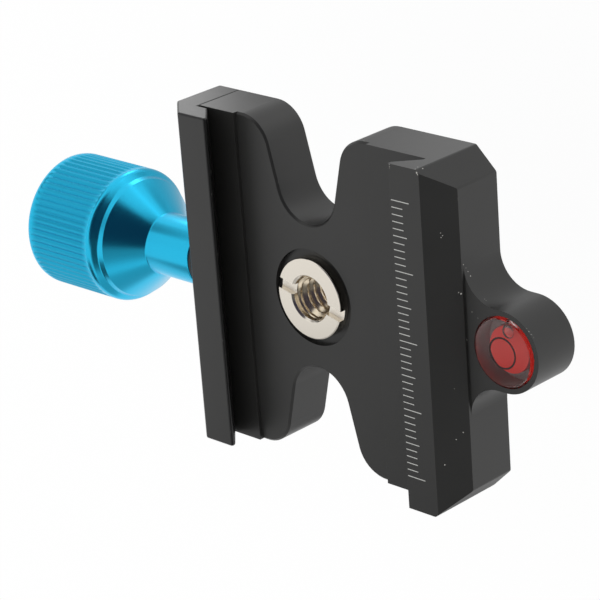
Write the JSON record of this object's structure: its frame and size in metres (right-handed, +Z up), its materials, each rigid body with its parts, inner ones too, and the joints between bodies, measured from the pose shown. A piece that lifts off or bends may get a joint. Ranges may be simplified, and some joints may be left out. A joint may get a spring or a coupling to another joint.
{
  "type": "dovetail quick release clamp",
  "caption": "Screw-knob clamp that grips a dovetail camera plate between a fixed and a sliding jaw, with a tripod thread and a round level.",
  "frame": {"origin": "the centre bushing's axis at the underside", "axes": "+X across the channel towards the fixed jaw and the level, +Y along the channel, +Z up out of the channel's floor"},
  "size_m": [0.0937, 0.05, 0.0201],
  "materials": {
    "black_anodised": "satin black anodised",
    "blue_anodised": "glossy blue anodised, turned and knurled",
    "nickel": "nickel plated brass, bright",
    "steel": "stainless steel",
    "washer_plastic": "black acetal",
    "level_acrylic": "clear red acrylic",
    "level_base": "red plastic plug",
    "level_liquid": "clear liquid that looks red through the acrylic",
    "level_bubble": "air bubble",
    "dark_print": "printed ring",
    "white_marks": "laser marked"
  },
  "bodies": {
    "base": {"clamp_body": "black_anodised", "thread_bushing": "nickel", "scale_marks": "white_marks", "level_housing": "level_acrylic", "level_plug": "level_base", "level_liquid": "level_liquid", "level_bubble": "level_bubble", "level_target_ring": "dark_print", "opening_spring_front": "steel", "opening_spring_back": "steel"},
    "jaw": {"moving_jaw": "black_anodised", "guide_pin_front": "steel", "guide_pin_back": "steel"},
    "knob": {"clamp_knob": "blue_anodised", "clamp_screw": "steel", "thrust_washer": "washer_plastic"}
  },
  "joints": [
    {"name": "jaw_slide", "type": "slide", "parent": "base", "child": "jaw", "axis": [-1, 0, 0], "range_m": [0, 0.0055], "deforming": ["opening_spring_front", "opening_spring_back"]},
    {"name": "knob_turn", "type": "hinge", "parent": "jaw", "child": "knob", "pos_m": [-0.03, 0, 0.0042], "axis": [-1, 0, 0], "range_deg": [0, 2475]}
  ],
  "couplings": [
    {"joint": "knob_turn", "follows": "jaw_slide", "rad_per_m": 7854}
  ]
}
